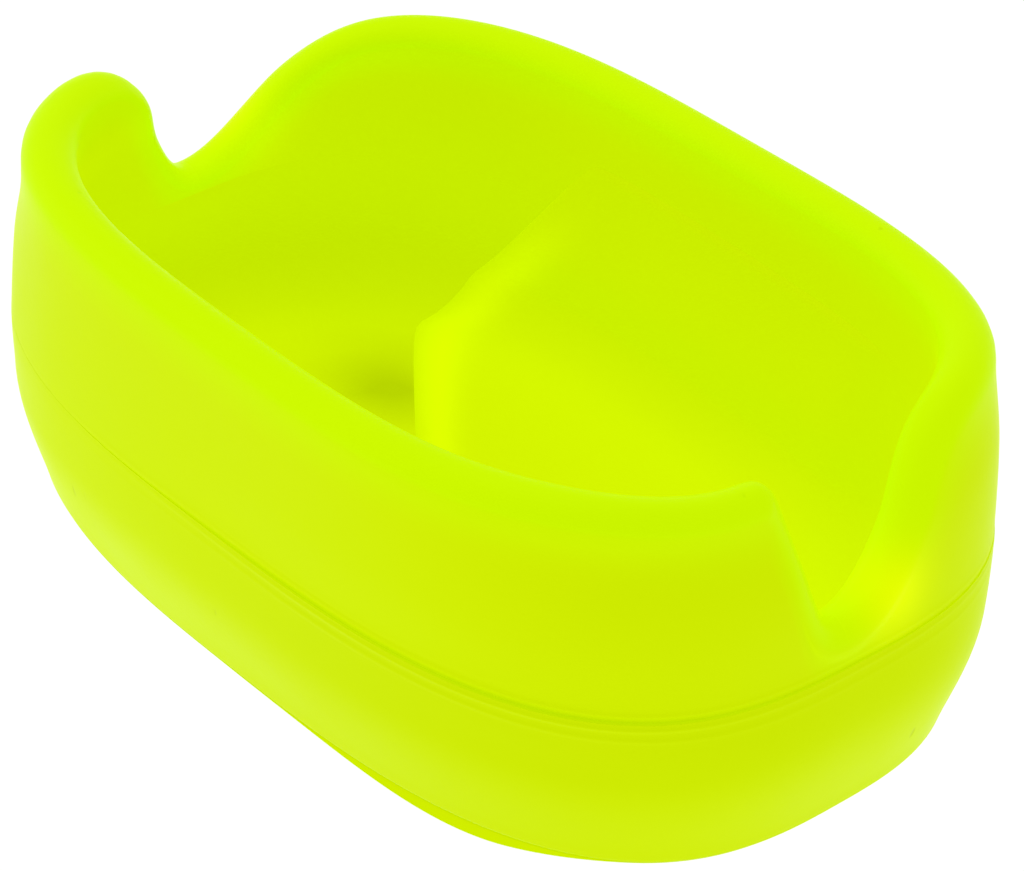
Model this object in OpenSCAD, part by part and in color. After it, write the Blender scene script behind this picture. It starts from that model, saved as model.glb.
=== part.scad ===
// Lip grip: a soft oval cup that the fingers pinch over the lower lip of a fish.
// Two flexible cheeks stand on a rounded hull, with a notch between them at each end.
// X runs along the cup, +X is the front, Z is up, and the sole rests on z = 0.
// All sizes are in millimetres.

/* [Plan] */
// Half the length of the cup at its widest
half_length = 23; // [21:0.5:25]
// Half the width of the cup at its widest
half_width = 15.5; // [14.5:0.1:16.5]
// Squareness of the plan outline, where 2 is an ellipse
squareness = 3; // [2.7:0.1:3.3]
// How far the rim draws in from the widest outline at the two ends
end_lean = 2.6; // [1:0.1:3]
// How far the rim draws in from the widest outline at the two sides
side_lean = 0.3; // [0:0.1:1]
// Half the length of the flat that the cup rests on
foot_half_length = 15.8; // [15:0.1:17]
// Half the width of the flat that the cup rests on
foot_half_width = 10.8; // [10:0.1:11.5]

/* [Heights] */
// Top of the left cheek at its middle
left_height = 20.9; // [20.5:0.1:21.5]
// Top of the right cheek at its middle
right_height = 18.9; // [18.5:0.1:19.5]
// Rise of both rims towards the front and rear corners
corner_rise = 0.5; // [0:0.1:0.6]
// The parting seam, where the cheeks stand on the hull
seam_height = 11.9; // [11.5:0.1:12]
// The widest outline
bilge_height = 9; // [8.5:0.1:9.5]
// The line where the sole meets the hull
sole_height = 3.9; // [3.2:0.1:4.2]
// The floor inside the cup
floor_height = 5.6; // [5.4:0.1:6]

/* [Walls] */
// Thickness of the hull and cheek walls
wall = 2.1; // [1.9:0.05:2.2]
// Radius between the floor and the walls inside
floor_fillet = 2.4; // [2:0.1:2.6]

/* [Notches] */
// Height of the notch floor at the front end
front_notch_height = 12.8; // [12.4:0.1:13.4]
// Height of the notch floor at the rear end
rear_notch_height = 12.4; // [12.2:0.1:13.2]
// Sideways place of the front notch
front_notch_y = -1.3; // [-1.6:0.1:-1]
// Sideways place of the rear notch
rear_notch_y = 0.8; // [0.5:0.1:1]

/* [Lip pads] */
// Thickness of the raised pads inside the cup
pad = 0.9; // [0.6:0.1:1]
// Rear end of the pads, along X
pad_rear = -10; // [-12:0.5:-6]
// Front end of the pads, along X
pad_front = 13; // [10:0.5:14]
// Height of the top edge of the pads
pad_height = 15; // [14.6:0.1:15.4]

/* [Flex] */
// Furthest that a cheek is squeezed inward
squeeze_angle = 5; // [3:1:5]

/* [Hidden] */

elastomer = [0.80, 0.94, 0.05];
pad_tint = [0.74, 0.88, 0.04];

// Steps round a full ring, and the angle between two of them
ring_steps = 144;
ring_step = 360 / ring_steps;
cheek_steps = 56;
side_steps = 6;
arc_angles = [22.5, 56, 90, 124, 157.5];

// Gap under a cheek, and between a pad and the wall behind it
foot_gap = 0.15;
pad_gap = 0.02;

// The cheeks bend about a line along X, at the middle of the round foot of each cheek
hinge_y = half_width - wall / 2;
relief = tan(squeeze_angle + 1);

// Widths of the notch flanks on the left and right cheeks, at the front and at the rear
front_flanks = [1.5, 5.2];
rear_flanks = [3.6, 5.0];

// Ends of each cheek, as angles round the cup from the front (0) through the right side
right_ends = [8.5, 166];
left_ends = [185.5, 351];

// Angles between which the web at each end fills the notch floor
front_web = [-6, 5.5];
rear_web = [169, 183];

function mix(a, b, s) = a + (b - a) * s;
function clamp(s) = min(1, max(0, s));

// Plan outline at a height: a quarter round below the bilge, and a gentle lean above it
function belly(z) = sqrt(1 - pow(1 - clamp(z / bilge_height), 2));
function lean(z) = pow(clamp((z - bilge_height) / (left_height - bilge_height)), 1.5);
function outline_x(z) = mix(foot_half_length, half_length, belly(z)) - end_lean * lean(z);
function outline_y(z) = mix(foot_half_width, half_width, belly(z)) - side_lean * lean(z);

// A point on the plan outline at an angle and a height, moved inward by an inset
function radius_at(a, b, phi) =
    1 / pow(pow(abs(cos(phi)) / a, squareness) + pow(abs(sin(phi)) / b, squareness), 1 / squareness);
function wall_point(phi, z, inset) =
    let (r = radius_at(outline_x(z) - inset, outline_y(z) - inset, phi))
    [r * cos(phi), r * sin(phi), z];

// Height of the rim round the cup, with its two notches
function flank(y, centre, widths) = exp(-pow((y - centre) / (y < centre ? widths[0] : widths[1]), 2));
function notch_share(x, y) =
    x > 0 ? flank(y, front_notch_y, front_flanks) : flank(y, rear_notch_y, rear_flanks);
function notch_floor(x) = x > 0 ? front_notch_height : rear_notch_height;
function full_rim(x, y, side_height) =
    mix(side_height + corner_rise * pow(x / half_length, 2), notch_floor(x), notch_share(x, y));
function rim_height(phi, side_height) =
    let (p = wall_point(phi, side_height, wall / 2))
    full_rim(p[0], p[1], side_height);

// Underside of a cheek: it climbs towards the ends, so that they clear the hull when squeezed
function foot_height(phi) =
    let (p = wall_point(phi, seam_height, wall / 2))
    seam_height + foot_gap + relief * max(0, hinge_y - abs(p[1]));

// Cross-section of a cheek at one angle, with a round rim and a round foot
function cheek_section(phi, side_height) =
    let (
        low = foot_height(phi),
        high = rim_height(phi, side_height),
        r = min(wall / 2, 0.45 * (high - low)),
        half = wall / 2
    )
    [
        for (s = [0:side_steps]) wall_point(phi, mix(high - r, low + r, s / side_steps), 0),
        for (a = arc_angles) wall_point(phi, low + r - r * sin(a), half * (1 - cos(a))),
        for (s = [0:side_steps]) wall_point(phi, mix(low + r, high - r, s / side_steps), wall),
        for (a = arc_angles) wall_point(phi, high - r + r * sin(a), half * (1 + cos(a)))
    ];

// Top of the hull wall: the seam, with a web that fills the notch floor at each end
function in_web(phi) =
    (phi - 360 >= front_web[0]) || (phi <= front_web[1]) || (phi >= rear_web[0] && phi <= rear_web[1]);
function web_height(phi) = min(rim_height(phi, right_height), notch_floor(cos(phi)) + 1);
function hull_top(phi) = in_web(phi) ? web_height(phi) : seam_height;

// A ring of the hull at a share of the way from one height up to the hull's top
function hull_ring(from, share, inset) =
    [for (i = [0:ring_steps - 1])
        let (phi = i * ring_step)
        wall_point(phi, mix(from, hull_top(phi), share), inset)];
function level_ring(z, inset) =
    [for (i = [0:ring_steps - 1]) wall_point(i * ring_step, z, inset)];

// Cross-section of the lip pad at one X: up the left wall, and back along its inner face
function half_width_at(x, z, inset) =
    let (a = outline_x(z) - inset, b = outline_y(z) - inset)
    b * pow(max(0.001, 1 - pow(abs(x) / a, squareness)), 1 / squareness);
function saddle_side(x, thick) = [
    for (s = [0:3])
        let (z = mix(seam_height - 0.4, floor_height + floor_fillet, s / 3))
        [half_width_at(x, z, wall + thick), z],
    for (a = [22.5, 45, 67.5, 90])
        let (z = floor_height + floor_fillet - (floor_fillet - thick) * sin(a))
        [half_width_at(x, z, wall + floor_fillet - (floor_fillet - thick) * cos(a)), z]
];
function saddle_section(x) =
    let (outer = saddle_side(x, pad_gap), inner = saddle_side(x, pad), last = len(outer) - 1)
    [
        for (p = outer) [x, -p[0], p[1]],
        for (i = [last:-1:0]) [x, outer[i][0], outer[i][1]],
        for (p = inner) [x, p[0], p[1]],
        for (i = [last:-1:0]) [x, -inner[i][0], inner[i][1]]
    ];

// Cross-section of a cheek's pad at one angle
function pad_section(phi, low) =
    let (r = pad / 2, mid = wall + pad_gap)
    [
        wall_point(phi, pad_height, mid),
        wall_point(phi, low, mid),
        for (a = [0:30:90]) wall_point(phi, low + r * (1 - cos(a)), mid + r + r * sin(a)),
        for (a = [90:30:180]) wall_point(phi, pad_height - r * (1 + cos(a)), mid + r + r * sin(a))
    ];

// Skins a list of closed rings that each have the same number of points.
// A flat end is closed by strips that join each point to the one across from it.
module loft(rings) {
    count = len(rings);
    m = len(rings[0]);
    top = (count - 1) * m;
    sides = [
        for (i = [0:count - 2], j = [0:m - 1])
            let (k = (j + 1) % m)
            each [[i * m + j, (i + 1) * m + j, (i + 1) * m + k], [i * m + j, (i + 1) * m + k, i * m + k]]
    ];
    first = [for (j = [0:m / 2 - 2]) [j, j + 1, m - 2 - j, m - 1 - j]];
    last = [for (j = [0:m / 2 - 2]) [top + m - 1 - j, top + m - 2 - j, top + j + 1, top + j]];
    polyhedron([for (r = rings) each r], [each sides, each first, each last]);
}

// Base of the cup, with the flat that it rests on
module sole() {
    shares = [0, 0.03, 0.1, 0.22, 0.4, 0.65, 1];
    color(elastomer)
    loft([for (s = shares) level_ring(sole_height * s, 0)]);
}

// Lower shell of the cup, up to the seam, with its floor and the two end webs
module hull_shell() {
    color(elastomer)
    loft([
        for (s = [0, 0.12, 0.28, 0.5, 0.75, 1]) hull_ring(sole_height, s, 0),
        for (s = [1, 0.5, 0]) hull_ring(floor_height + floor_fillet, s, wall),
        for (a = [22.5, 45, 67.5, 90])
            level_ring(floor_height + floor_fillet * (1 - sin(a)), wall + floor_fillet * (1 - cos(a)))
    ]);
}

// Raised saddle that the lip of the fish bears on, across the floor and up both sides
module lip_pad() {
    steps = 14;
    color(pad_tint)
    loft([for (i = [0:steps]) saddle_section(mix(pad_rear, pad_front, i / steps))]);
}

// One flexible cheek, between two angles round the cup
module cheek(ends, side_height) {
    color(elastomer)
    loft([for (i = [0:cheek_steps]) cheek_section(mix(ends[0], ends[1], i / cheek_steps), side_height)]);
}

// Raised strip inside a cheek, which carries on from the lip pad
module cheek_pad(side) {
    steps = 28;
    start = side > 0 ? atan2(hinge_y, pad_front) : atan2(-hinge_y, pad_rear) + 360;
    finish = side > 0 ? atan2(hinge_y, pad_rear) : atan2(-hinge_y, pad_front) + 360;
    low = seam_height + foot_gap + wall / 2 + 0.3;
    color(pad_tint)
    loft([for (i = [0:steps]) pad_section(mix(start, finish, i / steps), low)]);
}

sole();
hull_shell();  // hull
lip_pad();
cheek(left_ends, left_height);  // left_cheek
cheek(right_ends, right_height);  // right_cheek
cheek_pad(-1);  // left_pad
cheek_pad(1);  // right_pad
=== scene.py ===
from math import cos, pi, radians, sin

import bpy
import numpy as np
from mathutils import Matrix, Vector


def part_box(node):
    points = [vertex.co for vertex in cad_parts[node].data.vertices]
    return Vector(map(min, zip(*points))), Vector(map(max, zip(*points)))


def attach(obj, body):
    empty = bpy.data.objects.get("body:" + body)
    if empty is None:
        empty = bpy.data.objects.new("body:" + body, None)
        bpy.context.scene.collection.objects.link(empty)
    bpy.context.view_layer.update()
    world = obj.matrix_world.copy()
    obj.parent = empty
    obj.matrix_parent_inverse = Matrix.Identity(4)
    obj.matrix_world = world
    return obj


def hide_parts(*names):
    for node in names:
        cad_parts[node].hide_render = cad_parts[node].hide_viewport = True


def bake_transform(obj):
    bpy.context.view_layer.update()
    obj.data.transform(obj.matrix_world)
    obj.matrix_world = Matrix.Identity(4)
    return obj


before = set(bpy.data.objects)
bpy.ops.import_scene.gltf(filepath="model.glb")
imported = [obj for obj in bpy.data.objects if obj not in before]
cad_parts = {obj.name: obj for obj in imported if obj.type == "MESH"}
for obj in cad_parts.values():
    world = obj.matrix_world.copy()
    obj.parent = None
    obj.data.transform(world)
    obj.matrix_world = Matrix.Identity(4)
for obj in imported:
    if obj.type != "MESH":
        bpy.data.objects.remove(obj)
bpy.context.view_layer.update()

# The script works in millimetres and turns them into metres where a mesh or an object is made
MM = 0.001


def box_mm(node):
    """Lowest and highest corners of a CAD node, in millimetres."""
    low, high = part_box(node)
    return np.array(low) / MM, np.array(high) / MM


# ---------------------------------------------------------------- sizes from the frame
HALF_LENGTH, HALF_WIDTH = box_mm("hull")[1][:2]
SOLE_LINE = box_mm("sole")[1][2]
PAD_REAR = box_mm("lip_pad")[0][0]
PAD_FRONT = box_mm("lip_pad")[1][0]
PAD_TOP = box_mm("right_pad")[1][2]

# Each CAD cheek starts a small gap above the parting seam
FOOT_GAP = 0.15
SEAM = box_mm("left_cheek")[0][2] - FOOT_GAP

# ---------------------------------------------------------------- sizes of the moulding
# Wall thickness, height of the floor inside, radius from the floor to the walls, and radius of the
# edge round the flat that the cup rests on
WALL = 2.1
FLOOR = 5.6
FILLET = 2.6
FOOT_ROUND = 0.5

# Radius of the fine crease between the sole and the hull, and of the one at the parting seam
SOLE_CREASE = 0.12
SEAM_CREASE = 0.006

# Shares of the painted shade, a darker colour in shaded places: in the hollow behind the pads 1, over the
# rest of the rear of the cup inside, at the front left corner outside, and on the sole
HOLLOW = (-10.2, 3.4, 5.8)
HOLLOW_RADIUS = 2.6
REAR_SHADE = 0.15
CORNER_SHADE = 0.15
SOLE_SHADE = 0.35

# Painted highlights at the corners beside the floors of the notches: place, radius and strength
SADDLES = (((21.9, 1.9, 13.9), 1.8, 1.0), ((-21.4, 3.6, 14.2), 2.0, 0.5))

# Each rim: height at its middle, rise from there to the front end, lift of both ends, and how far it
# droops round the front corner
LEFT_RIM = {"middle": box_mm("left_cheek")[1][2] + 0.25, "tilt": 0.0, "lift": 0.1, "droop": 1.1}
RIGHT_RIM = {"middle": box_mm("right_cheek")[1][2] + 0.25, "tilt": 0.6, "lift": 0.45, "droop": 0.0}

# Each notch: height of its floor, its sideways place, and the widths and squareness of its left and
# right flanks
FRONT_NOTCH = {"floor": 13.8, "place": -0.9, "flanks": (1.9, 4.9), "squareness": (2.8, 2.0)}
REAR_NOTCH = {"floor": 12.95, "place": 0.4, "flanks": (4.0, 4.8), "squareness": (2.0, 2.0)}

# Plan outline: height, share of the half length, share of the half width, squareness
OUTLINE = np.array([
    (0.0, 0.655, 0.70, 3.8),
    (SOLE_LINE, 0.961, 0.90, 2.82),
    (0.75 * SEAM, 1.007, 0.99, 2.76),
    (SEAM, 0.985, 0.997, 2.93),
    (15.9, 0.953, 1.0, 3.03),
    (19.6, 0.90, 1.004, 3.17),
    (23.0, 0.90, 1.004, 3.17),
])

# Steps of the meshes: round the cup, along a cheek, over its round rim, and round a small edge
RING_STEPS = 320
CHEEK_STEPS = 300
RIM_STEPS = 14
EDGE_STEPS = 4

# Angle above which two faces meet in a sharp crease
CREASE_ANGLE = radians(38)


def smooth_step(low, high, value):
    """0 below low, 1 above high, and a smooth rise between them."""
    t = np.clip((value - low) / (high - low), 0, 1)
    return t * t * (3 - 2 * t)


def smooth_through(z, heights, values):
    """A curve through the given points that doesn't overshoot them (monotone cubic)."""
    gaps = np.diff(heights)
    slopes = np.diff(values) / gaps
    tangents = np.zeros(len(values))
    turning = slopes[:-1] * slopes[1:] <= 0
    mean = (gaps[:-1] + 2 * gaps[1:]) / (3 * (gaps[:-1] + gaps[1:]))
    with np.errstate(divide="ignore", invalid="ignore"):
        harmonic = 1 / (mean / slopes[:-1] + (1 - mean) / slopes[1:])
    tangents[1:-1] = np.where(turning, 0, harmonic)
    tangents[0], tangents[-1] = slopes[0], slopes[-1]
    i = np.clip(np.searchsorted(heights, z) - 1, 0, len(gaps) - 1)
    h = gaps[i]
    t = (z - heights[i]) / h
    rise = values[i] * (1 + 2 * t) * (1 - t) ** 2 + values[i + 1] * t * t * (3 - 2 * t)
    return rise + h * (tangents[i] * t * (1 - t) ** 2 + tangents[i + 1] * t * t * (t - 1))


# The sole is a straight cone, so the curve through the outline starts at the sole line
UPPER = OUTLINE[1:]


def outline(z):
    """Half length, half width and squareness of the plan outline at a height."""
    z = np.asarray(z, float)
    share = np.clip(z / SOLE_LINE, 0, 1)
    cone = [OUTLINE[0, k] + (OUTLINE[1, k] - OUTLINE[0, k]) * share for k in (1, 2, 3)]
    high = np.maximum(z, SOLE_LINE)
    curve = [smooth_through(high, UPPER[:, 0], UPPER[:, k]) for k in (1, 2, 3)]
    a, b, n = (np.where(z < SOLE_LINE, low, up) for low, up in zip(cone, curve))
    return a * HALF_LENGTH, b * HALF_WIDTH, n


def wall_point(phi, z, inset):
    """Points on the wall at angles and heights, moved inward from the outline by an inset."""
    a, b, n = outline(z)
    a, b = a - inset, b - inset
    r = ((np.abs(np.cos(phi)) / a) ** n + (np.abs(np.sin(phi)) / b) ** n) ** (-1 / n)
    return np.stack([r * np.cos(phi), r * np.sin(phi), z + 0 * r], -1)


def half_width_at(x, z, inset):
    """Half the width of the outline at a place along X."""
    a, b, n = outline(z)
    a, b = a - inset, b - inset
    return b * np.maximum(1e-6, 1 - (np.abs(x) / a) ** n) ** (1 / n)


# ---------------------------------------------------------------- the rim
def notch_share(x, y):
    """1 at the lowest point of a notch, falling to 0 away from it."""
    share = np.zeros_like(x)
    for notch, here in ((FRONT_NOTCH, x > 0), (REAR_NOTCH, x <= 0)):
        on_left = y < notch["place"]
        width = np.where(on_left, *notch["flanks"])
        power = np.where(on_left, *notch["squareness"])
        away = np.abs(y - notch["place"]) / width
        share = np.where(here, np.exp(-(away ** power)), share)
    return share


def rim_height(phi, rim):
    """Height of a cheek's rim at an angle."""
    x, y, _ = np.moveaxis(wall_point(phi, np.full_like(phi, rim["middle"]), 0.0), -1, 0)
    t = x / HALF_LENGTH
    full = rim["middle"] + rim["tilt"] * t + rim["lift"] * t * t
    full -= rim["droop"] * smooth_step(-0.9 * HALF_WIDTH, -0.3 * HALF_WIDTH, y) * (x > 0)
    floor = np.where(x > 0, FRONT_NOTCH["floor"], REAR_NOTCH["floor"])
    return full + (floor - full) * notch_share(x, y)


# Fine steps for finding angles: over half the cup, and along a cheek
HALF_RING_STEPS = 4000
ALONG_STEPS = 6000


def notch_angle(notch, front):
    """Angle round the cup of a notch's lowest point."""
    phi = np.linspace(-pi / 2, pi / 2, HALF_RING_STEPS + 1) + (0 if front else pi)
    y = wall_point(phi, np.full_like(phi, LEFT_RIM["middle"]), 0.0)[:, 1]
    return phi[np.argmin(np.abs(y - notch["place"]))]


FRONT_ANGLE = notch_angle(FRONT_NOTCH, True)
REAR_ANGLE = notch_angle(REAR_NOTCH, False)

# Height at which places along a cheek are measured
MID_WALL = 16.0

# The round rim is smaller where the rim bends: its radius is at most this share of the bend's, and
# never under the least radius
TIGHTEST = 0.8
LEAST_RADIUS = 0.2


def soften(values, passes):
    """Evens out a row of numbers, and keeps its ends."""
    values = values.copy()
    for _ in range(passes):
        values[1:-1] = 0.25 * values[:-2] + 0.5 * values[1:-1] + 0.25 * values[2:]
    return values


def rim_columns(start, finish, rim):
    """Columns evenly spaced along a cheek's rim, in the wall rolled out flat.

    Each has the place and height of the centre of its round rim, the rim's radius there, and the
    direction from that centre to the top of the rim. Also gives the way back from a place to an angle."""
    phi = np.linspace(start, finish, ALONG_STEPS + 1)
    mid = wall_point(phi, np.full_like(phi, MID_WALL), WALL / 2)[:, :2]
    along = np.concatenate([[0], np.cumsum(np.hypot(*np.diff(mid, axis=0).T))])
    height = soften(rim_height(phi, rim), passes=60)
    length = np.concatenate([[0], np.cumsum(np.hypot(np.diff(along), np.diff(height)))])
    even = np.linspace(0, length[-1], CHEEK_STEPS + 1)
    u, z = np.interp(even, length, along), np.interp(even, length, height)
    heading = soften(np.unwrap(np.arctan2(np.gradient(z), np.gradient(u))), passes=4)
    heading[0] = heading[-1] = 0
    bend = np.maximum(-np.gradient(heading) / even[1], 1e-3)
    radius = np.minimum.reduce([np.full_like(u, WALL / 2), z - SEAM - 0.1, TIGHTEST / bend])
    for _ in range(6):
        radius = np.minimum(radius, soften(radius, passes=6))
    radius = np.maximum(soften(radius, passes=12), LEAST_RADIUS)
    up = np.stack([-np.sin(heading), np.cos(heading)], -1)
    centre = np.stack([u, z], -1) - radius[:, None] * up
    return centre, radius, up, lambda place: np.interp(place, along, phi)


# ---------------------------------------------------------------- relief at the seam
# The front left corner, where the seam shows best
CORNER_ANGLE = radians(318)

# Beads beside the seam: height above it, width, and share of the full relief. Away from the corner
# the relief falls to its least share.
BEADS = ((0.28, 0.11, 1.0), (-0.26, 0.11, 1.0), (-0.78, 0.13, 0.6))
BEAD_RELIEF = 0.04
LEAST_RELIEF = 0.08

# How far the cheek is set back above the seam at that corner, its least share elsewhere, and the
# height over which it ends
SET_BACK = 0.18
LEAST_SET_BACK = 0.04
SET_BACK_HEIGHT = 3.6


def bump(z, centre, width):
    """1 at the centre, falling off smoothly on both sides."""
    return np.exp(-(((z - centre) / width) ** 2))


def corner_share(phi):
    """1 at the front left corner and 0 far from it."""
    return np.clip(np.cos(phi - CORNER_ANGLE), 0, 1) ** 2


def seam_relief(phi, z):
    """How far the wall stands proud near the parting seam: fine beads, clearest at the front left."""
    beads = sum(share * bump(z, SEAM + height, width) for height, width, share in BEADS)
    return BEAD_RELIEF * (LEAST_RELIEF + (1 - LEAST_RELIEF) * corner_share(phi)) * beads


def step_back(phi, z):
    """How far the cheek is set back just above the seam, most at the front left corner."""
    where = LEAST_SET_BACK + (1 - LEAST_SET_BACK) * corner_share(phi)
    return SET_BACK * where * (1 - smooth_step(SEAM + 0.1, SEAM + SET_BACK_HEIGHT, z))


# ---------------------------------------------------------------- mesh making
def make_piece(name, points, faces, marks):
    """A mesh object from points in millimetres, with smooth faces and sharp creases."""
    mesh = bpy.data.meshes.new(name)
    mesh.from_pydata([tuple(p * MM) for p in points], [], faces)
    mesh.validate()
    for attribute, values in marks.items():
        layer = mesh.attributes.new(attribute, "FLOAT", "POINT")
        layer.data.foreach_set("value", np.asarray(values, np.float32))
    obj = bpy.data.objects.new(name, mesh)
    bpy.context.scene.collection.objects.link(obj)
    mesh.shade_smooth()
    mesh.set_sharp_from_angle(angle=CREASE_ANGLE)
    return obj


def strip_faces(rows, columns, closed):
    """Quads between neighbouring rows of a grid; closed joins the last column to the first."""
    faces = []
    for i in range(rows - 1):
        for j in range(columns if closed else columns - 1):
            k = (j + 1) % columns
            faces.append((i * columns + j, i * columns + k, (i + 1) * columns + k, (i + 1) * columns + j))
    return faces


def skin(name, rings, marks):
    """A closed piece through a list of rings; its first and last rings are filled."""
    rings = np.asarray(rings)
    count, m = rings.shape[:2]
    faces = strip_faces(count, m, True)
    faces.append(tuple(reversed(range(m))))
    faces.append(tuple((count - 1) * m + j for j in range(m)))
    flat = {k: np.asarray(v).reshape(-1) for k, v in marks.items()}
    return make_piece(name, rings.reshape(-1, 3), faces, flat)


RING_ANGLES = np.arange(RING_STEPS) * 2 * pi / RING_STEPS


def level(z, inset):
    """A ring round the cup at one height. The inset is one number, or one for each angle."""
    return wall_point(RING_ANGLES, np.full_like(RING_ANGLES, z), inset)


def rounded(z, radius, side):
    """Heights and insets round an outer edge at height z. side is 1 for a top edge, -1 for a bottom one."""
    angles = [pi / 2 * s / EDGE_STEPS for s in range(EDGE_STEPS + 1)]
    return [(z - side * radius * (1 - sin(a)), radius * (1 - cos(a))) for a in angles]


# ---------------------------------------------------------------- the cup
def make_sole():
    """Base of the cup: a low cone from its flat up to the fine crease that parts it from the hull."""
    flat = level(0.0, FOOT_ROUND)
    rings = [flat * np.array([share, share, 1]) for share in (0.02, 0.25, 0.5, 0.75, 0.95)]
    rings += [level(z, inset) for z, inset in reversed(rounded(0.0, FOOT_ROUND, -1))]
    rings += [level(z, 0.0) for z in np.linspace(FOOT_ROUND + 0.2, SOLE_LINE - 0.3, 14)]
    rings += [level(z, inset) for z, inset in rounded(SOLE_LINE, SOLE_CREASE, 1)]
    zero = np.zeros((len(rings), RING_STEPS))
    # The sole gets an even share of painted shade, standing in for the shade near the ground
    return skin("sole_body", rings, {"rim": zero, "inside": zero, "painted_shade": zero + SOLE_SHADE, "lit": zero})


def painted_shade_share(points):
    """Share of painted shade inside: most in the hollow behind the pads, a little all round the rear."""
    x, y, z = np.moveaxis(points, -1, 0)
    away = np.linalg.norm(points - np.array(HOLLOW), axis=-1) / HOLLOW_RADIUS
    return np.exp(-(away ** 2)) + REAR_SHADE * smooth_step(12.0, FLOOR, z) * smooth_step(-2, -12, x)


def make_hull():
    """Lower shell: outer wall from the sole line to the seam, then down inside to the floor."""
    outer = np.concatenate([
        np.linspace(SOLE_LINE + 0.25, SEAM - 1.0, 26),
        np.linspace(SEAM - 0.95, SEAM - 0.02, 28),
    ])
    rows = list(reversed(rounded(SOLE_LINE, SOLE_CREASE, -1)))
    rows += [(z, -seam_relief(RING_ANGLES, z)) for z in outer]
    rows += rounded(SEAM, SEAM_CREASE, 1)
    rows += [(SEAM, inset) for inset in np.linspace(0.4, WALL, 5)]
    first_inside = len(rows) - 1
    rows += [(z, WALL) for z in np.linspace(SEAM - 0.4, FLOOR + FILLET, 10)]
    fillet = np.linspace(0.08, pi / 2, 12)
    rows += [(FLOOR + FILLET * (1 - sin(a)), WALL + FILLET * (1 - cos(a))) for a in fillet]
    rings = [level(z, inset) for z, inset in rows]
    floor_edge = rings[-1]
    rings += [floor_edge * np.array([share, share, 1]) for share in (0.92, 0.8, 0.6, 0.4, 0.2, 0.02)]
    rings = np.array(rings)
    inside = np.zeros(rings.shape[:2])
    inside[first_inside:] = 1
    # Painted shade: in the hollow and round the rear inside, and at the front left corner outside
    painted_shade = np.where(inside > 0, painted_shade_share(rings), CORNER_SHADE * corner_share(RING_ANGLES))
    plain = np.zeros_like(inside)
    return skin("hull_body", rings, {"rim": plain, "inside": inside, "painted_shade": painted_shade, "lit": plain})


def saddle_light(points):
    """Painted highlight: extra brightness in the colour where light comes out of the thick corners beside the
    floors of the notches.
    """
    light = np.zeros(points.shape[:-1])
    for place, radius, strength in SADDLES:
        away = np.linalg.norm(points - np.array(place), axis=-1) / radius
        light += strength * np.exp(-(away ** 2))
    return light


# Rows of a cheek's wall above the seam: close together over the beads, then a number of even steps
FINE_ROWS = np.array([0.02, 0.05, 0.1, 0.14, 0.18, 0.22, 0.26, 0.3, 0.34, 0.39, 0.45, 0.54, 0.65, 0.8])
WALL_STEPS = 16

# Height over which the painted highlight of the rim fades into the wall, and how strong it is there
RIM_HIGHLIGHT_FADE = 1.2
RIM_HIGHLIGHT_SHARE = 0.6


def make_cheek(name, start, finish, rim):
    """A cheek: a wall with a round rim that runs up and down the notches at its two ends."""
    centre, radius, up, angle_at = rim_columns(start, finish, rim)
    cu, cz = centre.T
    phi = angle_at(cu)
    top = np.maximum(cz - SEAM, 0.02)
    near = np.minimum(1, top / 1.2)
    low_rows = [SEAM + height * near for height in FINE_ROWS]
    high_rows = [low_rows[-1] + (cz - low_rows[-1]) * s for s in np.linspace(0, 1, WALL_STEPS + 1)[1:]]
    wall_rows = low_rows + high_rows

    rings, rim_highlight_marks, inside_marks = [], [], []

    def add(u, z, inset, rim_highlight, inside):
        rings.append(wall_point(angle_at(u), z, inset))
        rim_highlight_marks.append(np.broadcast_to(rim_highlight, z.shape))
        inside_marks.append(np.broadcast_to(inside, z.shape))

    # the crease at the seam, then up the outside
    for a in np.linspace(pi / 2, 0, EDGE_STEPS + 1)[:-1]:
        z = SEAM + SEAM_CREASE * (1 - sin(a)) * near
        add(cu, z, SEAM_CREASE * (1 - cos(a)) + step_back(phi, z), 0.0, 0.0)
    for z in wall_rows:
        fade = smooth_step(0, 0.6, cz - z)
        add(cu, z, (step_back(phi, z) - seam_relief(phi, z)) * fade, bump(z, cz, RIM_HIGHLIGHT_FADE) * RIM_HIGHLIGHT_SHARE, 0.0)
    # over the round rim, then down the inside
    for theta in np.linspace(0, pi, RIM_STEPS)[1:-1]:
        u = cu + radius * sin(theta) * up[:, 0]
        z = cz + radius * sin(theta) * up[:, 1]
        add(u, z, WALL / 2 * (1 - cos(theta)), 1.0, 0.2 * (1 - cos(theta)))
    for z in reversed(wall_rows):
        add(cu, z, WALL, bump(z, cz, RIM_HIGHLIGHT_FADE) * RIM_HIGHLIGHT_SHARE, 1.0)
    for inset in (WALL, WALL / 2):
        add(cu, np.full_like(cz, SEAM), inset, 0.0, 1.0)

    grid = np.stack(rings, 1)
    inside = np.stack(inside_marks, 1)
    # The rim mark carries the painted highlight along the rim
    marks = {"rim": np.stack(rim_highlight_marks, 1), "inside": inside, "painted_shade": 0 * inside, "lit": saddle_light(grid)}
    return skin(name, grid, marks)


# ---------------------------------------------------------------- lip pads
# Thickness on the wall at its foot, at its top edge and on the floor, and how deep the back is buried
PAD_THICKNESS = 1.1
TOP_PAD = 0.16
FLOOR_PAD = 0.6
BURIED = 0.3

# The surface of the pad starts this far under the wall at its rear edge, and rounds up over a length
EDGE_SUNK = 0.12
EDGE_ROUND = 3.2

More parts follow.
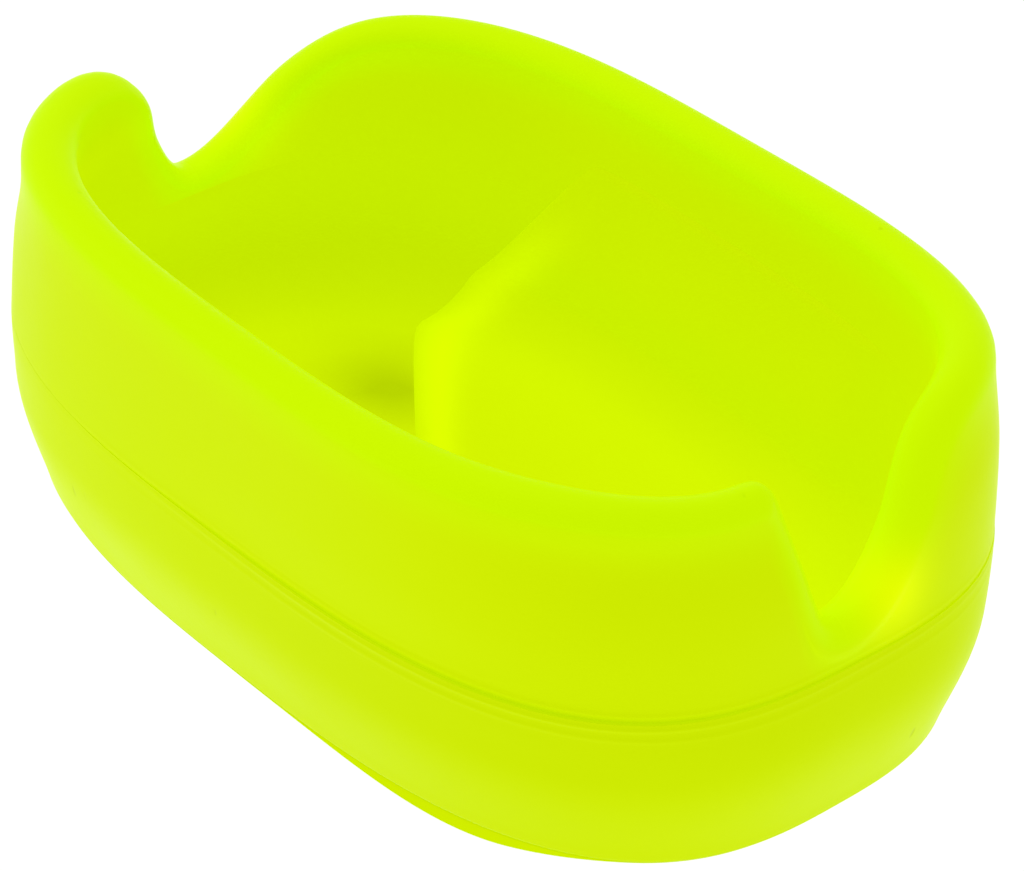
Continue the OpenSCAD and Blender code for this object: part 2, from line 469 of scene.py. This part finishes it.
# The rear edge starts behind the CAD pad at the foot of the wall. From there it climbs forward above a
# height on the wall, and sweeps forward across the floor on a curve.
EDGE_BACK = 3.4
EDGE_FOOT = 7.0
EDGE_CLIMB = 5.2
EDGE_SWEEP = 9.0
SWEEP_CURVE = 1.4

# Rows over the floor, the fillet and the wall, and columns along X
PAD_ROWS = (14, 12, 30)
PAD_COLUMNS = 70


def pad_rear_edge(z, way_in):
    """Where the pad starts along X, at a height on the wall or at a share of the way in along the floor."""
    climb = np.clip((z - EDGE_FOOT) / (PAD_TOP - EDGE_FOOT), 0, 1)
    return PAD_REAR - EDGE_BACK + EDGE_CLIMB * climb + EDGE_SWEEP * way_in ** SWEEP_CURVE


def pad_thickness(x, z, rear, flat_share):
    """The pad is a wedge that thickens downward, with a round rear edge, and fades out at the front.

    flat_share is 1 on the floor and 0 on the wall."""
    near_rear = np.clip((x - rear) / EDGE_ROUND, 0, 1)
    round_rear = np.sqrt(1 - (1 - near_rear) ** 2)
    down = PAD_TOP - z
    round_top = np.sqrt(1 - (1 - np.clip(down / 0.6, 0, 1)) ** 2)
    wedge = TOP_PAD * round_top + (PAD_THICKNESS - TOP_PAD) * smooth_step(0, 5.5, down)
    full = wedge + (FLOOR_PAD - wedge) * flat_share
    return -EDGE_SUNK + (EDGE_SUNK + full * smooth_step(0, 5.0, PAD_FRONT - x)) * round_rear


def pad_rows():
    """Rows from the middle of the floor outward and up: height, angle in the fillet, share of the floor.

    The angle is pi / 2 on the floor and 0 on the wall."""
    on_floor, in_fillet, on_wall = PAD_ROWS
    rows = [(FLOOR, pi / 2, share) for share in np.linspace(0, 1, on_floor)]
    rows += [(FLOOR + FILLET * (1 - sin(a)), a, 1) for a in np.linspace(pi / 2, 0, in_fillet)[1:]]
    rows += [(z, 0.0, 1) for z in np.linspace(FLOOR + FILLET, PAD_TOP, on_wall)[1:]]
    return rows


def pad_light(x, z, rear):
    """Painted highlight along the round rear edge, low down on the wall and on the floor."""
    return 0.5 * smooth_step(13.0, 8.0, z) * np.exp(-(((x - rear - 1.6) / 1.3) ** 2))


def pad_faces(rows, side):
    """Faces of a pad whose front rows are followed by its back rows in the opposite order."""
    m = PAD_COLUMNS
    faces = strip_faces(2 * rows, m, False)
    last = (2 * rows - 1) * m
    faces += [(last + j, last + j + 1, j + 1, j) for j in range(m - 1)]
    for i in range(rows - 1):
        near, far = i * m, (2 * rows - 2 - i) * m
        rear_end = (near, near + m, far, far + m)
        front_end = tuple(k + m - 1 for k in rear_end)
        faces += [tuple(reversed(rear_end)), front_end]
    return [tuple(reversed(face)) for face in faces] if side > 0 else faces


def make_pad(name, side):
    """Raised pad from the middle of the floor up one wall, with soft rounded edges."""
    shares = 0.5 - 0.5 * np.cos(np.linspace(0, pi, PAD_COLUMNS))
    front, back, light = [], [], []
    for z, angle, floor_share in pad_rows():
        rear = pad_rear_edge(z, 1 - floor_share)
        x = rear + (PAD_FRONT - rear) * shares
        thickness = pad_thickness(x, z, rear, sin(angle))
        for store, t in ((front, thickness), (back, np.full_like(x, -BURIED))):
            inset = WALL + FILLET * (1 - cos(angle)) + t * cos(angle)
            y = side * floor_share * half_width_at(x, np.full_like(x, z), inset)
            store.append(np.stack([x, y, z + t * sin(angle)], -1))
        light.append(pad_light(x, z, rear))
    points = np.array(front + back[::-1]).reshape(-1, 3)
    lit = np.array(light + light[::-1]).reshape(-1)
    plain = np.zeros_like(lit)
    marks = {"rim": plain, "inside": plain + 1, "painted_shade": plain, "lit": lit}
    return make_piece(name, points, pad_faces(len(front), side), marks)


# ---------------------------------------------------------------- materials
# Colours of the elastomer: outside, painted highlight along the rims, painted shade inside, painted shade in
# the hollow, and painted highlight where light comes out
BODY = (0.42, 0.55, 0.0, 1)
# Colour of the painted highlight along the rims
RIM_HIGHLIGHT = (0.41, 0.68, 0.0, 1)
# Painted shade inside the cup, a yellower and darker colour, which the clouds also mix toward at random
CLOUD_AND_INSIDE_SHADE = (0.46, 0.54, 0.0, 1)
PAD = (0.46, 0.55, 0.0, 1)
# Dark colour of the painted shade
SHADE_COLOUR = (0.22, 0.26, 0.0, 1)
# Colour of the painted highlights at the notch corners and along the rear edges of the pads
LIT = (0.70, 0.80, 0.0, 1)
NICK = (0.16, 0.22, 0.0, 1)

# Fluorescence is a constant emission under the diffuse colour: a painted glow that brightens every part
# evenly, shade included
FLUORESCENCE = (0.61, 0.86, 0.0, 1)
GLOW = 0.5

# Scales of the patterns, per metre: clouds in the colour, grain, nicks, and the patches they come in
CLOUDS, GRAIN, NICKS, NICK_PATCHES = 130.0, 2600.0, 900.0, 160.0


def node(tree, kind, inputs=None, **settings):
    """Adds a shader node. Its inputs are given as numbers or as the sockets that feed them."""
    made = tree.nodes.new(kind)
    for key, value in settings.items():
        setattr(made, key, value)
    for key, value in (inputs or {}).items():
        if isinstance(value, bpy.types.NodeSocket):
            tree.links.new(value, made.inputs[key])
        else:
            made.inputs[key].default_value = value
    return made


def mix_colour(tree, factor, a, b):
    # sockets 0, 6 and 7 are the factor and the two colours, and output 2 is the colour
    return node(tree, "ShaderNodeMix", {0: factor, 6: a, 7: b}, data_type="RGBA").outputs[2]


def calculate(tree, operation, *values):
    return node(tree, "ShaderNodeMath", dict(enumerate(values)), operation=operation).outputs[0]


def map_range(tree, value, low, high, first=0.0, last=1.0):
    return node(tree, "ShaderNodeMapRange", {0: value, 1: low, 2: high, 3: first, 4: last}).outputs[0]


def noise(tree, where, scale, detail, rough):
    inputs = {"Vector": where, "Scale": scale, "Detail": detail, "Roughness": rough}
    return node(tree, "ShaderNodeTexNoise", inputs).outputs["Fac"]


def mark(tree, attribute):
    return node(tree, "ShaderNodeAttribute", attribute_name=attribute).outputs["Fac"]


def new_material(name):
    """An empty material, its node tree, and the place of each point in the object's own space."""
    material = bpy.data.materials.new(name)
    material.use_nodes = True
    tree = material.node_tree
    tree.nodes.clear()
    return material, tree, node(tree, "ShaderNodeTexCoord").outputs["Object"]


def finish_material(tree, inputs):
    shader = node(tree, "ShaderNodeBsdfPrincipled", inputs)
    out = node(tree, "ShaderNodeOutputMaterial")
    tree.links.new(shader.outputs[0], out.inputs["Surface"])


def nicks(tree, place, within):
    """Short dark marks along Z, in a few patches of the outer walls."""
    stretched = node(tree, "ShaderNodeMapping", {"Vector": place, "Scale": (1.0, 1.0, 0.22)}).outputs[0]
    streak = map_range(tree, noise(tree, stretched, NICKS, 1.0, 0.5), 0.735, 0.76)
    patch = map_range(tree, noise(tree, place, NICK_PATCHES, 1.0, 0.5), 0.58, 0.62)
    outside = calculate(tree, "SUBTRACT", 1.0, within)
    return calculate(tree, "MULTIPLY", calculate(tree, "MULTIPLY", streak, patch), outside)


def elastomer(name, base, gloss, shine=0.02):
    """Soft fluorescent elastomer: cloudy colour, painted highlights on the rims, notch corners and pad edges,
    painted shade inside, in the hollow, at the front left corner and on the sole, and faint nicks.
    """
    material, tree, place = new_material(name)
    cloud = noise(tree, place, CLOUDS, 4.0, 0.55)
    grain = noise(tree, place, GRAIN, 2.0, 0.6)
    within = mark(tree, "inside")
    nick = nicks(tree, place, within)

    colour = mix_colour(tree, calculate(tree, "MULTIPLY", cloud, 0.5), base, CLOUD_AND_INSIDE_SHADE)
    # Painted shade on the inside surfaces
    colour = mix_colour(tree, within, colour, CLOUD_AND_INSIDE_SHADE)
    # Painted highlight along the rims
    colour = mix_colour(tree, mark(tree, "rim"), colour, RIM_HIGHLIGHT)
    # Painted shade in the hollow, round the rear, at the front left corner and on the sole
    colour = mix_colour(tree, mark(tree, "painted_shade"), colour, SHADE_COLOUR)
    # Painted highlights at the notch corners and along the rear edges of the pads
    colour = mix_colour(tree, mark(tree, "lit"), colour, LIT)
    colour = mix_colour(tree, calculate(tree, "MULTIPLY", nick, 0.35), colour, NICK)

    relief = calculate(tree, "ADD", calculate(tree, "MULTIPLY", grain, 0.35), cloud)
    relief = calculate(tree, "SUBTRACT", relief, calculate(tree, "MULTIPLY", nick, 0.8))
    bumped = node(tree, "ShaderNodeBump", {"Strength": 0.12, "Distance": 0.0002, "Height": relief})
    finish_material(tree, {
        "Base Color": colour,
        "Roughness": map_range(tree, cloud, 0.3, 0.7, gloss - 0.05, gloss + 0.07),
        "Normal": bumped.outputs[0],
        "IOR": 1.43,
        "Specular IOR Level": shine,
        "Specular Tint": (0.85, 1.0, 0.12, 1),
        "Emission Color": FLUORESCENCE,
        "Emission Strength": GLOW,
    })
    return material


def bright_paper(name):
    """The white surface that the cup stands on, which shines evenly so that it keeps hardly any shadow."""
    material, tree, place = new_material(name)
    soft = calculate(tree, "MULTIPLY", noise(tree, place, 30.0, 3.0, 0.5), 0.3)
    finish_material(tree, {
        "Base Color": mix_colour(tree, soft, (0.05, 0.05, 0.05, 1), (0.049, 0.049, 0.049, 1)),
        "Roughness": 0.9,
        "Specular IOR Level": 0.2,
        "Emission Color": (1, 1, 1, 1),
        "Emission Strength": 1.0,
    })
    return material


body_material = elastomer("body_elastomer", BODY, 0.36)
sole_material = elastomer("sole_elastomer", BODY, 0.6, shine=0.0)
pad_material = elastomer("pad_elastomer", PAD, 0.46)


def fixed(piece, material, nodes):
    """Hands over a piece that stays with the cup."""
    piece.data.materials.append(material)
    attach(piece, "cup")
    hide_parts(*nodes)


def flexible(piece, material, nodes):
    """Hands over a piece that bends from the cup to one of its sides in the real cup; here it only gets its
    material and its placing baked into its points, and is not attached to a body.
    """
    piece.data.materials.append(material)
    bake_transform(piece)
    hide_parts(*nodes)


fixed(make_sole(), sole_material, ["sole"])
fixed(make_hull(), body_material, ["hull"])
right_wall = make_cheek("right_cheek_wall", FRONT_ANGLE, REAR_ANGLE, RIGHT_RIM)
flexible(right_wall, body_material, ["right_cheek"])
left_wall = make_cheek("left_cheek_wall", REAR_ANGLE, FRONT_ANGLE + 2 * pi, LEFT_RIM)
flexible(left_wall, body_material, ["left_cheek"])
flexible(make_pad("right_lip_pad", 1), pad_material, ["right_pad", "lip_pad"])
flexible(make_pad("left_lip_pad", -1), pad_material, ["left_pad", "lip_pad"])

# ---------------------------------------------------------------- floor, light and camera
# Half the side of the paper, and how far its surface lies below the sole, in metres
PAPER_HALF, PAPER_DROP = 1.2, 0.00003

# What the camera looks at, its distance, its direction, and its turn about that direction
AIM = Vector((0.99, 0.47, 10.37)) * MM
CAMERA_DISTANCE = 186.34 * MM
AZIMUTH, ELEVATION, ROLL = radians(46.135), radians(35.162), radians(3.842)
LENS = 152.3


def make_paper():
    mesh = bpy.data.meshes.new("floor")
    corners = [(x * PAPER_HALF, y * PAPER_HALF, -PAPER_DROP) for x, y in ((-1, -1), (1, -1), (1, 1), (-1, 1))]
    mesh.from_pydata(corners, [], [(0, 1, 2, 3)])
    paper = bpy.data.objects.new("floor", mesh)
    bpy.context.scene.collection.objects.link(paper)
    paper.data.materials.append(bright_paper("floor_paper"))


def add_softbox(name, place, size, power):
    """A round soft light that points at the middle of the cup."""
    light = bpy.data.lights.new(name, "AREA")
    light.shape = "DISK"
    light.size = size
    light.energy = power
    lamp = bpy.data.objects.new(name, light)
    lamp.location = place
    lamp.rotation_euler = (Vector((0, 0, 0.01)) - Vector(place)).to_track_quat("-Z", "Y").to_euler()
    bpy.context.scene.collection.objects.link(lamp)


def light_world(strength):
    world = bpy.data.worlds.new("studio")
    world.use_nodes = True
    background = world.node_tree.nodes["Background"]
    background.inputs["Color"].default_value = (1, 1, 1, 1)
    background.inputs["Strength"].default_value = strength
    bpy.context.scene.world = world


def place_camera():
    data = bpy.data.cameras.new("camera")
    data.lens = LENS
    data.sensor_width = 36
    data.sensor_fit = "HORIZONTAL"
    data.clip_start = 0.01
    camera = bpy.data.objects.new("camera", data)
    back = Vector((sin(AZIMUTH) * cos(ELEVATION), -cos(AZIMUTH) * cos(ELEVATION), sin(ELEVATION)))
    level_right = Vector((0, 0, 1)).cross(back).normalized()
    level_up = back.cross(level_right)
    right = cos(ROLL) * level_right + sin(ROLL) * level_up
    up = -sin(ROLL) * level_right + cos(ROLL) * level_up
    turn = Matrix((right, up, back)).transposed().to_4x4()
    camera.matrix_world = Matrix.Translation(AIM + back * CAMERA_DISTANCE) @ turn
    bpy.context.scene.collection.objects.link(camera)
    bpy.context.scene.camera = camera


make_paper()
light_world(0.48)
add_softbox("top_softbox", place=(-0.1, 0.05, 0.7), size=0.5, power=1.35)
add_softbox("left_softbox", place=(-0.55, -0.30, 0.30), size=0.4, power=0.5)
place_camera()
bpy.context.scene.view_settings.view_transform = "Standard"
